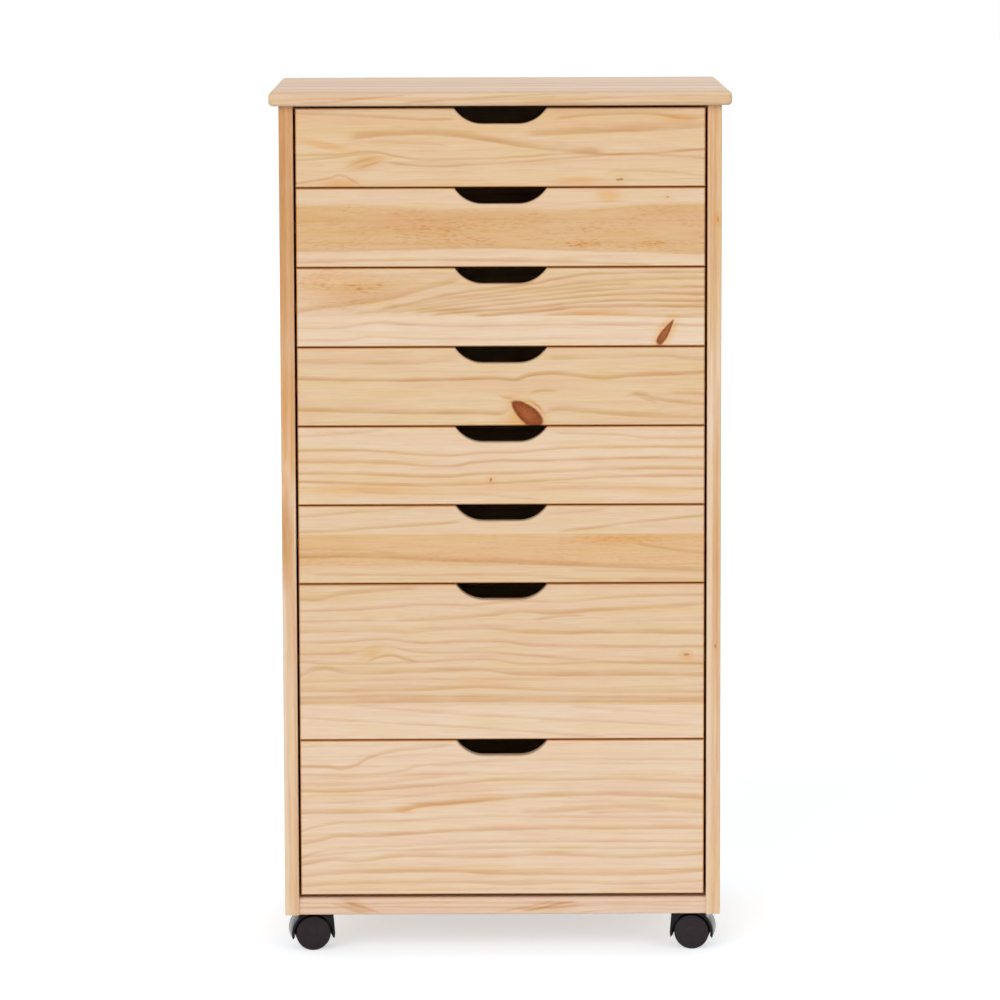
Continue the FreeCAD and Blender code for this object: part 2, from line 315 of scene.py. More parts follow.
class Board:
    """The face of a board as a drawing surface, in millimetres: along from its middle, across from its
    lower edge and depth from the side where its axis starts, such as the face of a drawer front. Lines
    are found in shares of its length and width."""

    def __init__(self, graph, low, high, axes, lean, seed):
        place = graph.place()
        index = ["xyz".index(axis) for axis in axes]
        start = [low[i] / MM for i in index]
        length, self.width, thickness = ((high[i] - low[i]) / MM for i in index)
        self.graph = graph
        self.seed = seed
        self.half = length / 2
        self.along = place[index[0]] - (start[0] + self.half)
        self.across = place[index[1]] - start[1]
        self.depth = place[index[2]] - start[2]
        if lean:
            self.across = self.across + (self.depth - thickness) * lean
        self.reach = self.half + DRAWING_MARGIN
        self.margin = DRAWING_MARGIN + lean * thickness
        self.span = self.width + 2 * self.margin
        ripple = graph.noise(self.along / 21, self.across / 9, self.depth / 9, detail=1.0) * LINE_RIPPLE
        self.along_share = (self.along + self.reach) / (2 * self.reach)
        self.across_share = (self.across + ripple + self.margin) / self.span

    def above(self, points):
        """How far a place lies above a drawn line, as a share of the board's span."""
        curve = self.graph.node("FloatCurve", {"Value": self.along_share})
        stops = curve.mapping.curves[0].points
        shares = [((x + self.reach) / (2 * self.reach), (y + self.margin) / self.span) for x, y in points]
        while len(stops) < len(shares):
            stops.new(0.5, 0.5)
        for stop, share in zip(stops, shares):
            stop.location = share
        curve.mapping.update()
        return self.across_share - Value(self.graph, curve.outputs[0])

    def line(self, drawn):
        """1 on a drawn line, falling off softly above it and sharply below."""
        above = self.above(drawn.points)
        soft = 2.1 * drawn.softness / self.span
        sharp = (LINE_SHARPNESS + 0.3 * drawn.softness) / self.span
        shown = self.graph.rise(above, soft, 0.0) * self.graph.rise(above, -sharp, 0.0)
        for end, inward in ((drawn.points[0][0], LINE_END), (drawn.points[-1][0], -LINE_END)):
            if abs(end) < self.half - END_MARGIN:
                shown = shown * self.graph.rise(self.along, end - 0.3 * inward, end + 0.7 * inward)
        return shown

    def oval(self, mark, wobble, grow=0.0, taper=0.0):
        """How far a place lies from the middle of a patch or knot, where 1 is the rim of its oval."""
        turn = radians(mark.angle)
        right = self.along - mark.along
        up = self.across - mark.across
        p = right * cos(turn) + up * sin(turn)
        q = up * cos(turn) - right * sin(turn)
        long = mark.long + grow
        short = mark.short + grow
        if taper:
            q = q / (1.0 - p * (taper / long))
        return self.graph.math("SQRT", p * p * (1 / long**2) + q * q * (1 / short**2)) + wobble


def stave_masks(board, staves):
    """How far a place has come into each stave but the first."""
    masks = []
    edge = 0.0
    for stave in staves[:-1]:
        edge += stave.width
        if stave.edge:
            blur = DRAWN_BLUR / board.span
            masks.append(board.graph.rise(board.above(stave.edge), -blur, blur))
        else:
            masks.append(board.graph.rise(board.across, edge - GLUED_BLUR, edge + GLUED_BLUR))
    return masks


def by_stave(masks, results):
    """A number that changes from stave to stave."""
    value = results[0]
    for mask, before, after in zip(masks, results, results[1:]):
        if after != before:
            value = mask * (after - before) + value
    return value


def tint_grain(graph, colour, broad, hue):
    """The broad shading of the wood and its turns to rose and gold."""
    colour = graph.tint(broad, colour, SHADE_TINT)
    colour = graph.tint(graph.rise(hue, 0.48, 0.62) * 0.6, colour, ROSE_TINT)
    return graph.tint(graph.rise(hue, 0.50, 0.36) * 0.6, colour, GOLD_TINT)


def paint_gap_shade(board, colour):
    """Painted shade on the edges of a drawer front next to its face, where the gaps between fronts lie in
    shadow.
    """
    graph = board.graph
    from_end = board.half - graph.math("ABSOLUTE", board.along)
    # edges sums the painted gap shade from each edge of the front
    edges = 0.0
    for inside in (board.across, board.width - board.across, from_end):
        edges = graph.rise(inside, GAP_SHADE_GONE_INSET, GAP_SHADE_FULL_INSET) + edges
    return graph.tint(edges * graph.rise(board.depth, GAP_SHADE_GONE_DEPTH, GAP_SHADE_FULL_DEPTH), colour, GAP_SHADE_TINT)


def draw_knots(board, colour, shapes):
    """The knots of a board, each with a lighter heart and a darker rim."""
    graph = board.graph
    mottle = graph.noise(board.along / 2.2, board.across / 2.2, board.seed, detail=2.0) if shapes else 0.0
    for size, knot in shapes:
        heart = graph.blend(graph.rise(size + mottle * 1.8, 0.1, 0.7), KNOT_HEART, KNOT_BODY)
        heart = graph.blend(graph.rise(size + mottle * 0.9, 0.62, 1.0), heart, KNOT_RIM)
        colour = graph.blend(graph.rise(size, 1.22, 0.92) * knot.dark, colour, heart)
    return colour


def pine(name, low, high, axes, drawn, seed=1.0, lean=0.0, front=False):
    """Lacquered pine for the board between two corners. axes says which of x, y and z runs along the
    grain, across the face and into its depth, such as xzy for a drawer front. lean tilts the layers of
    the wood, so that the narrow face in front shows lines of its own, with places across below 0."""
    material, graph = new_material(name)
    board = Board(graph, low, high, axes, lean, seed)
    along, across = board.along, board.across
    staves = drawn.staves
    masks = stave_masks(board, staves)
    labels = "slope bend wave spacing pith_across pith_depth line fleck shade".split()
    own = {label: by_stave(masks, [getattr(stave, label) for stave in staves]) for label in labels}
    own["seed"] = by_stave(masks, [seed + STAVE_SEED * k for k in range(len(staves))])
    place = {"along": along, "across": across, "depth": board.depth}
    rings = graph.node("Group", {}, node_tree=RINGS)
    for socket in rings.inputs:
        graph.feed(socket, {**place, **own}[socket.name])
    ring, shade, hue, fibre, fleck, streak = (Value(graph, output) for output in rings.outputs)
    speckle = own["fleck"]
    broad = graph.rise(shade, 0.42, 0.68) * own["shade"]

    brown_lines = ring * own["line"] * 0.8
    amber_lines = 0.0
    for line in drawn.lines:
        strength = line.strength * LINE_STRENGTH * drawn.force
        if line.amber:
            amber_lines = graph.math("MULTIPLY_ADD", board.line(line), strength, amber_lines)
        else:
            brown_lines = graph.math("MULTIPLY_ADD", board.line(line), strength, brown_lines)
    glow = 0.0
    gloom = 0.0
    for patch in drawn.patches:
        area = graph.rise(board.oval(patch, wobble=(streak - 0.5) * 0.7), 1.35, 0.25)
        glow = graph.math("MULTIPLY_ADD", area, patch.amber, glow)
        if patch.dark:
            gloom = graph.math("MULTIPLY_ADD", area, patch.dark, gloom)
        if patch.fleck:
            speckle = graph.math("MULTIPLY_ADD", area, patch.fleck, speckle)
    shapes = []
    for knot in drawn.knots:
        rim = graph.noise(along / 4, across / 4, knot.along, detail=1.0) * 0.22
        shapes.append((board.oval(knot, taper=knot.taper, wobble=rim), knot))
        halo = board.oval(knot, grow=KNOT_HALO, wobble=(streak - 0.5) * 0.8)
        glow = graph.math("MULTIPLY_ADD", graph.rise(halo, 1.5, 0.6), knot.halo, glow)

    colour = linear(staves[0].tone)
    for mask, stave in zip(masks, staves[1:]):
        colour = graph.blend(mask, colour, linear(stave.tone))
    colour = tint_grain(graph, colour, broad, hue)
    fade = graph.noise(along / 60 + seed, across / 17, seed, detail=1.0) * 1.5 + 1.0
    streaky = streak * 0.9 + 0.55
    for amount, tint in ((glow, GLOW_TINT), (gloom, DARK_TINT)):
        if isinstance(amount, Value):
            colour = graph.tint(amount * streaky, colour, tint)
    if isinstance(amber_lines, Value):
        colour = graph.tint(amber_lines * fade, colour, AMBER_LINE)
    colour = graph.tint(brown_lines * fade, colour, BROWN_LINE)
    colour = graph.tint(fleck * speckle, colour, FLECK_TINT)
    colour = graph.tint(graph.rise(fibre, 0.42, 0.8) * 0.45, colour, FIBRE_TINT)
    # Painted shade on a drawer front's edges, where the gaps between fronts lie
    if front:
        colour = paint_gap_shade(board, colour)
    colour = draw_knots(board, colour, shapes)
    finish_material(
        graph,
        Base_Color=colour,
        Roughness=fibre * 0.10 + 0.50,
        Normal=graph.bump(fibre * 0.5 + brown_lines * -0.15, 0.22, 0.3 * MM),
        Specular_IOR_Level=LACQUER,
    )
    return material


def staves_by_chance(total, width, seed, tones=(PALE, CREAM, WARM, ROSE, TAN)):
    """Staves of about one width for a board that the photograph shows little of."""
    dice = random.Random(seed)
    count = max(1, round(total / width))
    return [
        Stave(
            total / count,
            dice.choice(tones),
            dice.uniform(7, 13),
            dice.uniform(-0.03, 0.03),
            dice.uniform(-4e-5, 4e-5),
            dice.uniform(4, 9),
            dice.uniform(0.6, 1.0),
            dice.choice((0.0, 0.0, 0.4)),
            dice.uniform(0.3, 0.7),
            dice.choice((-300.0, -150.0, 40.0)),
            dice.uniform(40, 90),
        )
        for _ in range(count)
    ]


# What each drawer front shows
FRONTS = {}
FRONTS[1] = Drawn(
    [drawn_stave(89, CREAM, 0.1, 0.5)],
    [
        brown(0.5, 2, (-230, 83), (-150, 79), (-95, 76), (-50, 76)),
        amber(0.7, 5, (-170, 54), (-100, 60), (-55, 58), (-20, 53), (30, 45), (80, 40), (115, 38)),
        brown(0.3, 2, (-150, 50), (-75, 48), (-55, 45)),
        brown(0.6, 1.6, (-225, 36), (-180, 37), (-145, 40), (-120, 35), (-90, 31), (-40, 31), (20, 33),
              (75, 37), (140, 36), (225, 41)),
        brown(0.6, 1.6, (-225, 31), (-190, 33), (-165, 36), (-140, 38)),
        brown(0.6, 1.6, (-130, 28), (-105, 25), (-70, 23), (-30, 25), (25, 28), (65, 31), (105, 34),
              (145, 36), (180, 35), (225, 32)),
        amber(0.6, 6, (30, 58), (75, 60), (125, 62), (175, 64), (225, 67)),
        brown(0.6, 2.5, (60, 75), (80, 78), (125, 81), (175, 81), (200, 77), (213, 76), (230, 78)),
        brown(0.3, 2, (190, 39), (230, 42)),
        brown(0.6, 1.5, (-172, 23), (-153, 30), (-136, 33)),
        brown(0.6, 1.5, (-160, 21), (-147, 25), (-133, 30)),
        brown(0.3, 2, (120, 17), (173, 17), (230, 11.5)),
        brown(0.7, 1.6, (-219, 6), (-192, 10), (-180, 12.7), (-167, 7.7), (-157, 1)),
    ],
    [
        Patch(-200, 48, 40, 5, -12, 0.7),
        Patch(200, 77, 24, 5, 0, 0.7),
        Patch(90, 7, 30, 5, 0, 0.7),
        Patch(-180, 4, 22, 6, 0, 0.8),
        Patch(-150, 28, 26, 9, 12, 0.6, 0.1, 0.5),
    ],
    [Knot(134, 8, 4, 1.2, 5, 0.6, 0.0, 0.3)],
)
FRONTS[2] = Drawn(
    [
        drawn_stave(21, BLUSH, 0.0, 0.1, ((-225, 19), (-65, 21), (0, 21.5), (135, 18), (225, 14))),
        drawn_stave(46, TAN, 0.62, 0.5, ((-225, 71), (-140, 69), (-60, 65), (25, 65), (80, 64), (150, 69),
                                         (225, 70))),
        drawn_stave(22, PALE, 0.0, 0.1),
    ],
    [
        brown(0.35, 2, (-225, 18.5), (-150, 19), (-65, 21), (0, 21.5), (60, 19), (135, 17), (230, 14)),
        brown(0.45, 2, (-225, 5), (-150, 7), (-57, 7.7), (20, 6), (96, 4), (173, 1)),
    ],
    [
        Patch(-30, 36, 90, 14, 0, 0.15, 0.0, 0.3),
        Patch(130, 32, 60, 13, 0, 0.15, 0.0, 0.3),
        Patch(-190, 38, 50, 12, 0, -0.3, 0.0, -0.3),
        Patch(92, 25, 20, 4, 0, 0.5, 0.0, 0.8),
        Patch(172, 26, 20, 4, 0, 0.5, 0.0, 0.8),
        Patch(122, 80, 17, 9, 0, 0.7),
    ],
    [Knot(188, 78, 2.0, 1.1, 0, 0.35, 0.0, 0.2)],
)
FRONTS[3] = Drawn(
    [drawn_stave(34.5, CHALK, 0.0, 0.15), drawn_stave(54, PALE, 0.1, 0.4)],
    [
        brown(0.5, 2, (-225, 21), (-175, 22), (-160, 24), (-140, 27), (-120, 26), (-95, 24), (100, 24),
              (225, 22)),
        brown(0.35, 2, (-225, 7.5), (-175, 7.5), (-145, 11), (-110, 9), (100, 8.5), (160, 7.5)),
        amber(0.5, 4, (-225, 40), (-200, 44), (-150, 50), (-120, 55), (-100, 61), (-80, 66), (-60, 71),
              (-45, 75)),
        brown(0.7, 2, (-130, 44), (-115, 46), (-95, 50), (-75, 55), (-50, 60), (-25, 63), (0, 66), (35, 70),
              (60, 75), (100, 81), (125, 82), (225, 83)),
        brown(0.6, 2, (-140, 42), (-100, 47), (-60, 54), (-25, 58), (0, 61), (50, 66), (100, 72), (225, 76)),
        brown(0.5, 2, (-165, 37), (-125, 41), (-90, 46), (-50, 51), (0, 57), (50, 62), (100, 67), (150, 71)),
        brown(0.6, 2, (-125, 38), (-100, 41), (-50, 47), (0, 52), (50, 57), (100, 62), (150, 65), (225, 66)),
        brown(0.7, 2, (-100, 38), (-50, 42), (0, 47), (50, 52), (100, 56), (130, 58), (225, 58)),
        brown(0.8, 2, (-80, 35), (-50, 38), (0, 41), (50, 45), (75, 48), (100, 50), (150, 51), (225, 50)),
        amber(0.95, 2.4, (-30, 34), (0, 36), (50, 40), (75, 43), (100, 44), (225, 44)),
        brown(0.6, 2, (50, 35), (100, 36), (150, 34), (225, 33)),
    ],
    [
        Patch(115, 38, 50, 4, 0, 0.7),
        Patch(-187, 74, 50, 14, 0, 0.6, 0.0, 0.9),
        Patch(-150, 62, 60, 16, 12, 0.3, 0.15, 0.9),
    ],
    [Knot(185.5, 15, 15.5, 3.9, 58, 0.95, 0.45, 0.8)],
)
FRONTS[4] = Drawn(
    [drawn_stave(89, CREAM, 0.05, 0.3)],
    [
        brown(0.45, 3.5, (-226, 72), (-173, 71.5), (-96, 71), (-69, 73), (-46, 74)),
        brown(0.45, 3.5, (50, 75), (96, 76), (135, 77), (192, 78), (204, 76), (230, 74)),
        brown(0.8, 2.6, (-230, 53), (-173, 52), (-96, 51), (-57, 52), (-4, 53), (16, 51.5), (27, 54.6),
              (43, 57.7), (58, 58.5), (77, 57), (115, 53), (150, 56), (192, 57), (230, 59)),
        brown(0.7, 3.5, (-230, 18), (-173, 16.5), (-115, 14.6), (-19, 13.8), (0, 13), (7, 17)),
        brown(0.7, 3.5, (50, 14.6), (65, 17.3), (96, 15.4), (135, 11.5), (173, 9.6), (230, 9)),
        brown(0.6, 3, (142, 33), (158, 34.6), (173, 30), (204, 25), (230, 23)),
        brown(0.6, 3, (152, 34), (165, 29), (177, 26)),
        brown(0.5, 2, (189, 36.5), (230, 34.6)),
        brown(0.7, 2, (-4, 35), (4, 31.5), (15, 31)),
        brown(0.7, 2, (31, 34.6), (42, 38.5), (65, 38.5)),
        brown(1.3, 1.2, (33, 27.7), (40, 23), (46, 17), (50, 11.5)),
    ],
    [Patch(20, 6, 26, 7, 0, 0.6)],
    [Knot(29, 13.5, 20, 9.2, -40, 1.0, -0.22, 0.8)],
)
FRONTS[5] = Drawn(
    [drawn_stave(89, BLUSH, 0.05, 0.35)],
    [
        brown(0.4, 2, (-226, 78), (-175, 81), (-130, 85)),
        brown(0.6, 2, (-226, 61), (-173, 62), (-127, 60), (-96, 57), (-57, 56), (-11, 59), (20, 59),
              (58, 63), (135, 64.6), (230, 64.6)),
        brown(0.6, 2, (-226, 48.5), (-115, 46.5), (-84, 44), (-50, 44), (-30, 47.7), (58, 50), (135, 52),
              (230, 52)),
        brown(0.65, 2.5, (-226, 35.4), (-173, 35.4), (-96, 32), (-57, 31.5), (-34, 34), (20, 35.4),
              (77, 37.7), (135, 40), (230, 39.6)),
        brown(0.7, 2, (-226, 26), (-173, 24), (-96, 21.5), (-57, 22), (20, 25), (77, 28.5), (135, 31),
              (230, 31.5)),
        brown(0.4, 2, (-165, 15), (-96, 12), (-19, 11), (12, 8), (43, 5)),
        brown(0.4, 2, (43, 17.7), (135, 18.5), (230, 17)),
        brown(0.45, 2, (58, 81), (96, 80), (135, 78.5), (165, 75.4), (230, 75.4)),
        brown(0.2, 2, (20, 3), (230, 3)),
    ],
    [Patch(-165, 17, 75, 6, 0, 0.45), Patch(180, 15, 55, 7, 0, 0.45), Patch(-80, 20, 200, 20, 0, 0.25)],
    [Knot(-12, 28, 2.6, 1.1, 80, 0.6, 0.0, 0.3)],
)
FRONTS[6] = Drawn(
    [
        drawn_stave(20, CREAM, 0.0, 0.2),
        drawn_stave(36, HONEY, 0.35, 0.5),
        drawn_stave(33, PALE, 0.0, 0.15),
    ],
    [
        brown(0.45, 2, (-230, 76), (-192, 79), (-154, 82), (-96, 87)),
        brown(0.5, 2, (-226, 58.5), (-192, 60), (-134, 64), (-96, 66), (-57, 69), (-42, 71)),
        brown(0.55, 2, (65, 58.5), (96, 61.5), (135, 67), (173, 71), (230, 76.5)),
        brown(0.35, 2, (50, 78), (96, 81.5), (119, 84)),
        amber(0.65, 3.6, (-225, 30), (-150, 30), (-100, 28), (-50, 25), (0, 24), (50, 21), (100, 19),
              (150, 17), (225, 14)),
        brown(0.5, 2, (150, 45), (190, 38), (230, 33)),
        brown(0.3, 2, (-230, 39), (-173, 39), (-115, 33)),
        brown(0.4, 2, (-212, 10), (-96, 9), (20, 8.5), (80, 4.6), (127, 0)),
        brown(0.4, 2, (77, 14), (230, 11.5)),
        brown(0.4, 2, (135, 3), (230, 2)),
    ],
    [Patch(130, 49, 60, 6, 0, 0.6, 0.0, 0.4)],
)
FRONTS[7] = Drawn(
    [drawn_stave(39, CHALK, 0.0, 0.15), drawn_stave(140, PALE, 0.08, 0.4)],
    [
        brown(0.7, 3, (-226, 161), (-203, 162), (-184, 167), (-154, 170), (-96, 174)),
        brown(0.6, 2, (-226, 148), (-134, 151.5), (-96, 155), (-19, 155), (0, 158), (73, 158), (135, 163),
              (230, 165)),
        brown(0.7, 3, (-123, 137), (-57, 139), (-19, 142), (20, 146), (58, 144.6), (96, 147), (173, 151),
              (230, 154.6)),
        brown(0.35, 2, (-226, 136), (-140, 137)),
        brown(0.6, 2, (35, 137), (66, 141), (96, 142)),
        brown(0.35, 2, (116, 134), (230, 137)),
        brown(0.6, 3.5, (-226, 123.5), (-134, 124.6), (-104, 122.7), (-77, 125.8), (-19, 127), (12, 125),
              (27, 122.7), (135, 122.7), (230, 121)),
        brown(0.35, 3.5, (20, 123), (135, 122.7), (230, 121)),
        brown(0.65, 2.2, (-226, 112), (-180, 112), (-150, 115), (-123, 115), (-104, 112), (-19, 113),
              (4, 112), (23, 109), (77, 107), (230, 106)),
        brown(0.8, 2, (-154, 89), (-142, 94), (-127, 97), (-111, 93), (-96, 89)),
        brown(0.55, 2, (-226, 98.5), (-180, 99.6), (-161, 101.5), (-146, 107), (-127, 107), (-107, 102),
              (-88, 100), (-19, 100), (31, 96), (77, 92), (135, 88), (230, 86)),
        brown(0.55, 2, (-226, 89), (-173, 87), (-96, 89), (-4, 91), (16, 87), (50, 86), (96, 87.7),
              (230, 86)),
        brown(0.8, 3.2, (-226, 75), (-200, 81.5), (-184, 77.7), (-96, 77.7), (-57, 79.6), (-19, 79.6),
              (0, 76.5), (39, 73.8), (135, 73.8), (230, 72.7)),
        brown(0.35, 2, (-226, 67), (-19, 69), (58, 67)),
        brown(0.6, 2.8, (-226, 56), (-96, 57), (-19, 60), (39, 57), (96, 55), (230, 53.5)),
        brown(0.45, 2, (-226, 47.7), (-34, 49.6), (96, 48.5), (230, 46)),
        amber(0.8, 4, (-226, 42.5), (-50, 44), (96, 43), (230, 43)),
        brown(0.5, 2.2, (-170, 38.5), (-134, 36), (-57, 29.5), (20, 24.6), (77, 21), (135, 18.8), (230, 13)),
        brown(0.5, 2, (-226, 25), (-173, 21.5), (-96, 17), (-19, 12), (20, 9), (77, 4.6), (115, 1)),
        brown(0.35, 2, (77, 37.7), (130, 33.5), (230, 27)),
    ],
    [Patch(-148, 100, 16, 6, 25, 0.5), Patch(-25, 67, 36, 7, 0, 0.35)],
    [Knot(210, 97, 3.0, 1.3, 0, 0.5, 0.0, 0.5)],
    force=0.78,
)
FRONTS[8] = Drawn(
    [drawn_stave(179, CHALK, 0.05, 0.35)],
    [
        brown(0.4, 2, (-226, 171), (-203, 174)),
        brown(0.7, 2.6, (-226, 148), (-200, 147.7), (-184, 145.8), (-165, 150.8), (-150, 159), (-130, 165),
              (-96, 169), (-57, 172.7)),
        brown(0.55, 2, (-226, 139), (-134, 140), (-115, 143), (-96, 148.5), (-57, 151.5), (0, 154.6),
              (58, 155.4), (230, 155.4)),
        brown(0.5, 2, (-226, 135), (-188, 135), (-134, 137), (-96, 139), (-34, 140)),
        brown(0.35, 2, (-226, 129), (-154, 129), (-96, 134), (-50, 138), (77, 139), (230, 136)),
        brown(0.8, 2.6, (-226, 120), (-173, 120), (-104, 124.6), (-50, 129), (20, 133), (77, 132),
              (108, 133.5), (173, 131.5), (230, 129)),
        brown(0.35, 2, (-226, 108.5), (-161, 108.5), (-96, 115), (-50, 119), (20, 121.5), (135, 122.7),
              (230, 121)),
        amber(0.9, 4, (-226, 95), (-154, 95.8), (-115, 97), (-96, 101.5), (-50, 106), (-19, 109), (20, 112),
              (58, 114), (135, 115), (185, 113), (230, 110)),
        brown(0.5, 2, (-226, 74.6), (-200, 81.5), (-154, 84), (-96, 86), (-57, 89), (96, 89), (230, 88)),
        amber(0.75, 3.5, (20, 94.6), (77, 97), (116, 99.6), (154, 99.6), (192, 97), (230, 94)),
        brown(0.6, 2, (96, 94.6), (135, 94.6), (192, 95.8)),
        amber(0.85, 3, (-230, 59), (-211, 62), (-192, 67), (-154, 67.7), (-96, 70.8), (-42, 73.8),
              (58, 75.4), (230, 75.8)),
        brown(0.6, 2.2, (-226, 44), (-200, 51.5), (-154, 54.6), (-96, 57), (-34, 60), (77, 61), (230, 60)),
        brown(0.5, 2, (-219, 44), (-154, 49.6), (-96, 51.5), (-19, 53.5), (58, 53.5), (230, 51.5)),
        brown(0.8, 3.2, (-226, 35.4), (-192, 40), (-161, 39), (-123, 43.8), (-19, 43), (58, 45.8),
              (85, 44.6), (135, 42), (192, 43.8), (230, 45.8)),
        brown(0.75, 3.5, (-226, 21), (-192, 24), (-134, 25.8), (-57, 26.5), (-19, 24), (58, 22.7),
              (173, 22.7), (230, 26.5)),
        brown(0.55, 3, (-226, 10), (-192, 12), (-57, 14), (20, 11), (77, 13), (135, 11), (230, 15)),
        brown(0.35, 2, (-226, 5), (230, 6)),
    ],
    [Patch(-111, 97.7, 14, 5, 0, 0.5), Patch(-70, 104, 60, 7, 6, 0.35)],
    force=0.74,
)


def dress(node, material):
    """Gives a CAD node its material."""
    slots = frame["nodes"][node].data.materials
    slots.clear()
    slots.append(material)


def dress_board(node, axes, drawn, **grain):
    dress(node, pine(node + "_pine", *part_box(node), axes, drawn, **grain))


def dress_drawers():
    for number, drawn in FRONTS.items():
        # front=True paints shade on the edges of each front, for the gaps between them
        dress_board(f"drawer_{number}_front", "xzy", drawn, seed=number * 1.7, front=True)
    for number in FRONTS:
        low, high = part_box(f"drawer_{number}_sides")
        height = (high.z - low.z) / MM
        for part, axes, seed in (("sides", "yzx", 40), ("back", "xzy", 60)):
            staves = staves_by_chance(height, DRAWER_STAVE_WIDTH, seed + number)
            dress_board(f"drawer_{number}_{part}", axes, Drawn(staves), seed=seed + number * 1.3)


# What the top board, the rail and the front edges of the sides show. Places across below 0 lie on the
# narrow face in front, counted down from its upper edge or to the left from its right edge.
TOP_BOARD = Drawn(
    [Stave(3, PALE, 7, 0.02, 0.0, 6, 0.35, 0.1, 0.3)],
    [
        amber(0.35, 3, (-255, -10), (-200, -8), (-100, -9), (0, -9), (100, -8), (255, -9)),
        brown(0.45, 1.4, (-225, -12), (-190, -11), (-150, -7), (-100, -3)),
        brown(0.45, 1.4, (-110, -12), (-50, -9), (0, -6), (50, -3), (100, -1)),
        brown(0.45, 1.4, (20, -12), (80, -10), (130, -7), (180, -5), (255, -5)),
        brown(0.3, 1.2, (150, -12), (255, -11)),
        brown(0.5, 8, (-260, 70), (-100, 66), (100, 72), (260, 68)),
        brown(0.6, 10, (-260, 140), (0, 146), (260, 138)),
        brown(0.5, 8, (-260, 212), (50, 206), (260, 214)),
        brown(0.6, 12, (-260, 290), (-50, 282), (260, 288)),
        brown(0.5, 9, (-260, 350), (100, 356), (260, 350)),
    ],
    knots=[Knot(-150, 389, 18, 4, 0, 0.5)],
)
RAIL = Drawn(
    [Stave(60, ROSE, 8, 0.03, 0.0, 8, 0.5, 0.1, 0.4)],
    [
        brown(0.5, 1.5, (-230, -6), (-165, -7), (-100, -6), (60, -7), (230, -5)),
        brown(0.5, 1.5, (-230, -12), (-150, -11), (-20, -12), (40, -13), (90, -10), (230, -11)),
        brown(0.7, 1.6, (20, -17), (45, -13), (60, -9), (85, -6)),
        brown(0.5, 1.4, (-5, -17), (25, -12), (45, -8), (60, -4)),
        brown(0.7, 1.6, (-182, -5), (-168, -9), (-152, -14), (-140, -18)),
        brown(0.5, 1.4, (-196, -6), (-180, -11), (-160, -17)),
    ],
    [Patch(55, -10, 30, 8, 0, 0.3, 0.1, 0.3), Patch(-168, -10, 22, 8, -30, 0.3, 0.2)],
)
SIDE_STAVE = Stave(GLUED_WIDTH, CHALK, 6.0, 0.0, 0.0, 4.0, 0.3, 0.1, 0.5)
LEFT_SIDE = Drawn(
    [SIDE_STAVE],
    [
        brown(0.45, 2.5, (-462, -4), (-200, -3), (0, -5), (200, -4), (462, -5)),
        brown(0.4, 2.5, (60, -11), (200, -10), (462, -10)),
        brown(0.3, 3, (-462, -9), (-250, -11), (-60, -10)),
    ],
    [
        Patch(380, -8, 260, 80, 0, 0.75, 0.38),
        Patch(330, -14, 260, 5, 0, 0.4, 0.2),
        Patch(98, -8, 75, 60, 0, 0.65, 0.1),
        Patch(-25, -12, 62, 9, 0, 0.9, 0.5),
        Patch(-120, -6, 90, 6, 0, 0.4, 0.1),
        Patch(-330, -4, 150, 5, 0, 0.3, 0.0),
    ],
)
RIGHT_SIDE = Drawn(
    [SIDE_STAVE],
    [
        brown(0.4, 3, (-462, -9), (-200, -10), (0, -8), (200, -9), (462, -8)),
        brown(0.5, 2.5, (-300, -4), (-150, -4.5), (0, -5), (150, -4)),
        brown(0.3, 2, (180, -12), (462, -13)),
    ],
    [
        Patch(380, -8, 220, 40, 0, 0.6, 0.15),
        Patch(-30, -5, 160, 6, 0, 0.5, 0.15),
        Patch(-380, -3, 110, 5, 0, 0.4, 0.1),
    ],
    [Knot(334, -4.5, 3.2, 1.0, 0, 0.4, 0.0, 0.4), Knot(-152, -6, 2.2, 0.9, 0, 0.5, 0.0, 0.2)],
)
# Tones of the top board's upper face, darker than its front face: painted shade for the stronger light that
# falls on the top
TOP_PAINTED_SHADE_TONES = ((221, 190, 157), (225, 194, 163), (218, 185, 151))


def dress_wide(node, axes, drawn, seed, **chance):
    """A board whose narrow front face is drawn and whose other staves are left to chance."""
    low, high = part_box(node)
    rest = (high.y - low.y) / MM - drawn.staves[0].width
    staves = drawn.staves + staves_by_chance(rest, GLUED_WIDTH, node, **chance)
    dress_board(node, axes, drawn._replace(staves=staves), seed=seed, lean=1.0)


def dress_carcass():
    dress_wide("top_board", "xyz", TOP_BOARD, 30.0, tones=TOP_PAINTED_SHADE_TONES)
    dress_wide("base_board", "xyz", RAIL, 33.0)
    dress_wide("side_left", "zyx", LEFT_SIDE, 21.0)
    dress_wide("side_right", "zyx", RIGHT_SIDE, 24.0)
    dress_board("top_cleats", "yxz", Drawn(staves_by_chance(500, 500, "cleats")), seed=36.0)


# Thin unfinished plywood, with a broad rotary-cut figure and fine pores, and the plain close-grained
# hardwood of the runners
PLYWOOD = Drawn([Stave(1000, (226, 200, 164), 24, 0.01, 0.0, 30, 0.3, 0.25, 0.6, 200.0, 60.0)])
HARDWOOD = Drawn([Stave(1000, (211, 173, 128), 5, 0.01, 0.0, 5, 0.35, 0.5, 0.5)])


def dress_hidden():
    dress("back_panel", pine("back_plywood", *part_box("back_panel"), "zxy", PLYWOOD, seed=3.0))
    for side in ("left", "right"):
        node = f"runners_{side}"
        dress(node, pine(f"runner_{side}_wood", *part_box(node), "yzx", HARDWOOD, seed=5.0))
    for number in FRONTS:
        node = f"drawer_{number}_floor"
        dress(node, pine(node + "_plywood", *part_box(node), "yxz", PLYWOOD, seed=3.0))


# Casters


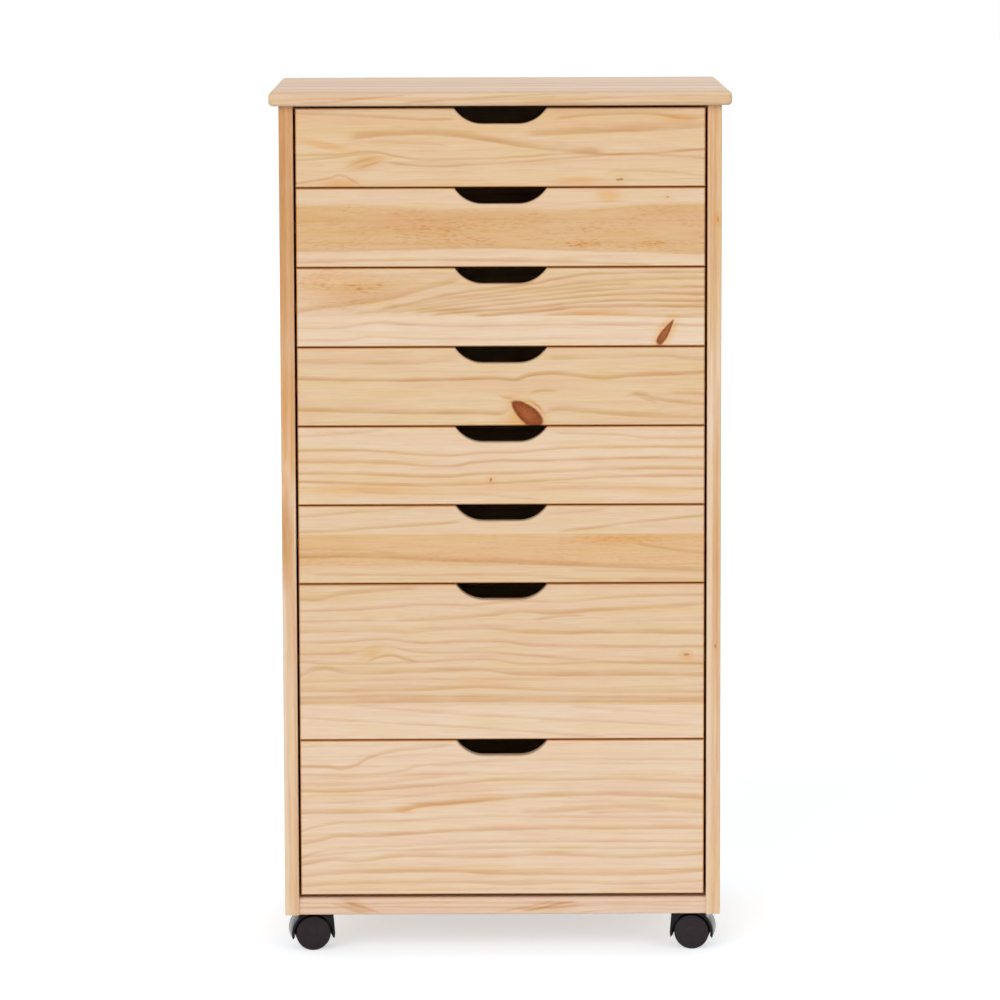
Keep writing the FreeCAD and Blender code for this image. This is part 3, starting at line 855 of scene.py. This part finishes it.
def nylon(name, colour, roughness, grain, specular=0.5):
    """Moulded nylon with a fine texture from its mould and a slight cloudiness."""
    material, graph = new_material(name)
    x, y, z = graph.place()
    fine = graph.noise(x / grain, y / grain, z / grain, detail=3.0) + 0.5
    cloud = graph.noise(x / 9, y / 9, z / 9) + 0.5
    tone = graph.blend(graph.rise(cloud, 0.3, 0.7), linear(colour), linear([1.22 * c for c in colour]))
    finish_material(
        graph,
        Base_Color=tone,
        Roughness=fine * 0.12 + (roughness - 0.06),
        Normal=graph.bump(fine, 0.3, 0.1 * MM),
        Specular_IOR_Level=specular,
    )
    return material


def zinc(name, dark, light):
    """Zinc-plated steel, finely scratched."""
    material, graph = new_material(name)
    x, y, z = graph.place()
    fine = graph.noise(x / 0.6, y / 0.6, z / 3) + 0.5
    tone = graph.blend(fine, linear(dark), linear(light))
    finish_material(graph, Base_Color=tone, Roughness=fine * 0.15 + 0.24, Metallic=1.0)
    return material


CRISP_ANGLE = 32
EASED_ANGLE = 38

HOOD_NYLON = nylon("hood_nylon", (14, 11, 12), 0.20, 0.7, 0.2)
WHEEL_NYLON = nylon("wheel_nylon", (29, 19, 22), 0.50, 0.5, 0.25)
ZINC = zinc("zinc_steel", (176, 178, 182), (214, 215, 217))
# Dark zinc for the painted shade in the cross recess of each screw head
RECESS_PAINTED_SHADE = zinc("zinc_recess", (42, 42, 44), (70, 70, 72))


def sharp_edges(build, degrees):
    return [e for e in build.edges if len(e.link_faces) == 2 and e.calc_face_angle() > radians(degrees)]


def add_piece(name, build, body, slot, material, *replaced):
    """A piece of the scene from a bmesh, riding on a body. It is shaded smooth between sharp edges."""
    bmesh.ops.recalc_face_normals(build, faces=build.faces)
    for face in build.faces:
        face.smooth = True
    for edge in sharp_edges(build, CRISP_ANGLE):
        edge.smooth = False
    mesh = bpy.data.meshes.new(name)
    build.to_mesh(mesh)
    build.free()
    mesh.materials.append(material)
    piece = bpy.data.objects.new(name, mesh)
    bpy.context.scene.collection.objects.link(piece)
    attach(piece, body)
    if replaced:
        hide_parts(*replaced)


def lathe(build, profile, segments):
    """Turns a profile of (y, radius) points about the Y axis. A radius of 0 closes an end."""
    rows = []
    for y, radius in profile:
        if radius == 0:
            rows.append([build.verts.new((0, y, 0))])
            continue
        turns = [2 * pi * k / segments for k in range(segments)]
        rows.append([build.verts.new((radius * cos(t), y, radius * sin(t))) for t in turns])
    for first, second in zip(rows, rows[1:]):
        for k in range(segments):
            j = (k + 1) % segments
            if len(first) == 1:
                build.faces.new((first[0], second[k], second[j]))
            elif len(second) == 1:
                build.faces.new((first[j], first[k], second[0]))
            else:
                build.faces.new((first[j], first[k], second[k], second[j]))


def plate(build, outline, y0, y1):
    """A flat plate between y0 and y1 with an outline of (x, z) points."""
    near = [build.verts.new((x, y0, z)) for x, z in outline]
    far = [build.verts.new((x, y1, z)) for x, z in outline]
    build.faces.new(near)
    build.faces.new(reversed(far))
    for k in range(len(outline)):
        j = (k + 1) % len(outline)
        build.faces.new((near[k], far[k], far[j], near[j]))


def ease(build, width):
    """Rounds the sharp edges of a mesh."""
    bmesh.ops.recalc_face_normals(build, faces=build.faces)
    sharp = sharp_edges(build, EASED_ANGLE)
    bmesh.ops.bevel(build, geom=sharp, offset=width, segments=3, profile=0.5, affect="EDGES")


def arc(radius, start, end, steps):
    """Points on a circle about the axle, from one angle to another in degrees."""
    angles = [radians(start + (end - start) * k / steps) for k in range(steps + 1)]
    return [(radius * cos(a), radius * sin(a)) for a in angles]


# Sizes of the caster that the frame's boxes don't give
WELL_GAP = 1.8 * MM
HOOD_WEB_HALF = 5.5 * MM
HOOD_EASE = 0.8 * MM
SKIRT_TAPER = 3.0 * MM
BOSS_WALL = 3.5 * MM
WEB_SEAT = 1.2 * MM
WEB_DROP = 2.5 * MM
TREAD_ROUND = 1.6 * MM
SKIRT_STEPS = 6
CROWN_STEPS = 24
WELL_STEPS = 48
WEB_STEPS = 40
BOSS_STEPS = 14
ROUND_STEPS = 5
WHEEL_SEGMENTS = 96

# The face of a wheel in millimetres: how deep it lies at places in from its rim, for the ring, and at
# places out from its middle, for the raised hub cap
FACE_RING = ((0.0, 2.9), (0.15, 3.1), (0.15, 3.7), (0.05, 4.0))
FACE_HUB = ((0.2, 8.6), (0.35, 6.4), (0.3, 5.3), (0.1, 5.0), (0.05, 4.4), (0.0, 0.0))


def slant(radius, drop):
    """The angle in degrees of the place on a circle that lies a drop below the axle."""
    return -atan2(drop, sqrt(radius**2 - drop**2)) * 180 / pi


def hood_mesh(radius, reach, top, half, drop, well, axle):
    """The hood in the axle's frame: a shell round both wheels, squared at the stem, and its web."""
    build = bmesh.new()
    skirt = slant(radius, drop)
    flat = 180 - slant(radius, -top)
    outer = arc(radius, skirt, 0, SKIRT_STEPS) + [(reach, top)]
    outer += arc(radius, flat, 180 - skirt, CROWN_STEPS)
    skirt = slant(well, drop - SKIRT_TAPER)
    plate(build, outer + arc(well, 180 - skirt, skirt, WELL_STEPS), -half, half)
    ease(build, HOOD_EASE)

    seat = well + WEB_SEAT
    boss = axle + BOSS_WALL
    edge = slant(seat, WEB_DROP)
    neck = slant(boss, WEB_DROP)
    web = arc(seat, edge, 180 - edge, WEB_STEPS) + arc(boss, 180 - neck, 360 + neck, BOSS_STEPS)
    plate(build, web, -HOOD_WEB_HALF, HOOD_WEB_HALF)
    return build


def wheel_mesh(radius, y0, y1):
    """One wheel: a rounded tread, a shallow ring in its face and a raised hub cap. y1 is its face."""
    build = bmesh.new()
    out = 1 if y1 > y0 else -1
    step = MM * out
    angles = [pi / 2 * k / ROUND_STEPS for k in range(ROUND_STEPS + 1)]
    rounded = [(out * TREAD_ROUND * (1 - cos(a)), radius - TREAD_ROUND * (1 - sin(a))) for a in angles]
    profile = [(y0, 0)] + [(y0 + y, r) for y, r in rounded] + [(y1 - y, r) for y, r in reversed(rounded)]
    profile += [(y1 - depth * step, radius - place * MM) for depth, place in FACE_RING]
    profile += [(y1 - depth * step, place * MM) for depth, place in FACE_HUB]
    lathe(build, profile, WHEEL_SEGMENTS)
    return build


def local_points(node, square):
    """The corners of a node's mesh in the axes of its caster."""
    return [square @ vertex.co for vertex in frame["nodes"][node].data.vertices]


def local_box(node, square):
    points = local_points(node, square)
    low = Vector([min(p[k] for p in points) for k in range(3)])
    high = Vector([max(p[k] for p in points) for k in range(3)])
    return low, high


def stem_reach(node, square):
    """How far the flat top of a hood reaches on the stem's side."""
    points = local_points(node, square)
    top = max(p.z for p in points)
    return max(p.x for p in points if p.z > top - 0.1 * MM)


def dress_casters():
    joints = {joint["name"]: joint for joint in frame["joints"]}
    for corner in ("front_left", "front_right", "rear_left", "rear_right"):
        name = f"caster_{corner}"
        centre = Vector(joints[f"wheel_{corner}_1"]["pos_m"])
        stem = Vector(joints[f"swivel_{corner}"]["pos_m"])
        to_stem = stem - centre
        place = Matrix.Translation(centre) @ Matrix.Rotation(atan2(to_stem.y, to_stem.x), 4, "Z")
        square = place.inverted()
        low, high = local_box(f"{name}_hood", square)
        reach = stem_reach(f"{name}_hood", square)
        wheel = centre.z
        axle = local_box(f"{name}_axle", square)[1].z
        hood = hood_mesh(-low.x, reach, high.z, high.y, -low.z, wheel + WELL_GAP, axle)
        hood.transform(place)
        add_piece(f"{name}_hood_shell", hood, name, "caster_nylon", HOOD_NYLON, f"{name}_hood")
        for number in (1, 2):
            node = f"{name}_wheel_{number}"
            low, high = local_box(node, square)
            disc = wheel_mesh(wheel, *sorted((low.y, high.y), key=abs))
            disc.transform(place)
            add_piece(f"{node}_disc", disc, node, "wheel_nylon", WHEEL_NYLON, node)
        dress(f"{name}_axle", ZINC)
    dress("caster_stems", ZINC)


# Screws of the back panel

SCREW_INSET = 4.0 * MM
SCREW_HEAD = [(-1.0, 0), (-1.0, 2.4), (0.0, 3.1), (0.03, 2.9), (0.03, 0)]
HEAD_SEGMENTS = 24
CROSS_TOP = 0.04 * MM
CROSS_LONG = 1.7 * MM
CROSS_HALF = 0.35 * MM
SIDE_SCREWS = 7
BASE_SCREWS = 3


def add_screws():
    """Countersunk screws that hold the back panel to the sides and the base board. Their heads lie flush
    in the panel, so only a thin top of each shows, with a dark cross plate as painted shade for its recess."""
    low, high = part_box("back_panel")
    base_low, base_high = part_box("base_board")
    step = (high.z - low.z) / SIDE_SCREWS
    heights = [low.z + step * (k + 0.5) for k in range(SIDE_SCREWS)]
    places = [(x, z) for x in (low.x + SCREW_INSET, high.x - SCREW_INSET) for z in heights]
    step = (high.x - low.x) / (BASE_SCREWS + 1)
    places += [(low.x + step * (k + 1), (base_low.z + base_high.z) / 2) for k in range(BASE_SCREWS)]
    arm = [(CROSS_LONG, -CROSS_HALF), (CROSS_LONG, CROSS_HALF), (CROSS_HALF, CROSS_HALF)]
    cross = []
    for _ in range(4):
        cross += arm
        arm = [(-v, u) for u, v in arm]
    heads = bmesh.new()
    cross_shade_plates = bmesh.new()
    for x, z in places:
        before = set(heads.verts)
        lathe(heads, [(y * MM, radius * MM) for y, radius in SCREW_HEAD], HEAD_SEGMENTS)
        head = [vertex for vertex in heads.verts if vertex not in before]
        bmesh.ops.translate(heads, verts=head, vec=(x, high.y, z))
        # A dark cross-shaped plate in each head: painted shade where the screw's cross recess lies
        plate(cross_shade_plates, [(x + u, z + v) for u, v in cross], high.y - CROSS_LONG, high.y + CROSS_TOP)
    add_piece("back_panel_screws", heads, "carcass", "steel", ZINC)
    add_piece("back_screw_crosses", cross_shade_plates, "carcass", "steel", RECESS_PAINTED_SHADE)


# Floor, light and camera

WHITE = (1.0, 1.0, 1.0, 1.0)
FLOOR_SIZE = 60
FLOOR_SEEN = (0.805, 0.865, 0.925, 1.0)
FLOOR_LIGHT = (0.75, 0.745, 0.74, 1.0)
FLOOR_GLOW = 0.523
HORIZON_LIGHT = 1.15
ZENITH_LIGHT = 0.15
LAMP_SPREAD = 40

# Camera, fitted to the photograph's edges with the object's real sizes: metres and degrees
CAMERA_DISTANCE = 5.5
CAMERA_SIDE = -0.02518
CAMERA_HEIGHT = 1.2316
CAMERA_TILT = 7.322
CAMERA_YAW = 0.246
CAMERA_ROLL = -0.165
LENS = 176.17


def seen_directly(graph):
    """1 for the camera and for what mirrors and glass show of the surround, 0 for the light it gives."""
    kinds = ("Camera", "Glossy", "Transmission")
    camera, glossy, through = (graph.value("LightPath", {}, f"Is {kind} Ray") for kind in kinds)
    return graph.math("MAXIMUM", camera, graph.math("MAXIMUM", glossy, through))


def add_floor():
    """A pale floor that looks white except where the object shades it."""
    bpy.ops.mesh.primitive_plane_add(size=FLOOR_SIZE)
    floor = bpy.context.object
    floor.name = "floor"
    material, graph = new_material("floor_pale")
    seen = seen_directly(graph)
    diffuse = graph.value("BsdfDiffuse", {"Color": graph.blend(seen, FLOOR_LIGHT, FLOOR_SEEN)})
    glow = graph.value("Emission", {"Color": WHITE, "Strength": seen * FLOOR_GLOW})
    graph.node("OutputMaterial", {"Surface": graph.value("AddShader", {0: diffuse, 1: glow})})
    floor.data.materials.append(material)


def add_world():
    """A surround that lights from low down more than from above, and is itself seen white."""
    world = bpy.data.worlds.new("studio")
    world.use_nodes = True
    world.node_tree.nodes.clear()
    graph = Graph(world.node_tree)
    height = graph.value("SeparateXYZ", {0: graph.value("TexCoord", {}, "Generated")}, "Z")
    height = graph.math("MAXIMUM", height, 0.0)
    light = height * (ZENITH_LIGHT - HORIZON_LIGHT) + HORIZON_LIGHT
    seen = seen_directly(graph)
    strength = seen + (1.0 - seen) * light
    background = graph.value("Background", {"Color": WHITE, "Strength": strength})
    graph.node("OutputWorld", {"Surface": background})
    bpy.context.scene.world = world


def add_lamp(name, azimuth, elevation, strength):
    """Soft light from far away, as strong at the casters as at the top board. Azimuth 0 is in front and
    90 is on the viewer's right."""
    lamp = bpy.data.lights.new(name, "SUN")
    lamp.angle = radians(LAMP_SPREAD)
    lamp.energy = strength
    item = bpy.data.objects.new(name, lamp)
    turn = radians(azimuth)
    rise = radians(elevation)
    source = Vector((sin(turn) * cos(rise), -cos(turn) * cos(rise), sin(rise)))
    item.rotation_euler = (-source).to_track_quat("-Z", "Y").to_euler()
    bpy.context.scene.collection.objects.link(item)


def add_camera():
    """The photograph's view: from in front, a little above the top board."""
    camera = bpy.data.cameras.new("camera")
    camera.lens = LENS
    camera.clip_end = 200
    item = bpy.data.objects.new("camera", camera)
    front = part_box("side_left")[0].y
    item.location = (CAMERA_SIDE, front - CAMERA_DISTANCE, CAMERA_HEIGHT)
    yaw = Matrix.Rotation(-radians(CAMERA_YAW), 4, "Z")
    tilt = Matrix.Rotation(radians(90 - CAMERA_TILT), 4, "X")
    roll = Matrix.Rotation(radians(CAMERA_ROLL), 4, "Z")
    item.rotation_euler = (yaw @ tilt @ roll).to_euler()
    bpy.context.scene.collection.objects.link(item)
    bpy.context.scene.camera = item


dress_drawers()
dress_carcass()
dress_hidden()
dress_casters()
add_screws()
add_floor()
add_world()
add_lamp("key", -28, 22, 0.99)
add_lamp("fill", 42, 14, 0.42)
add_lamp("behind", 170, 20, 0.50)
add_camera()
bpy.context.scene.view_settings.view_transform = "Standard"
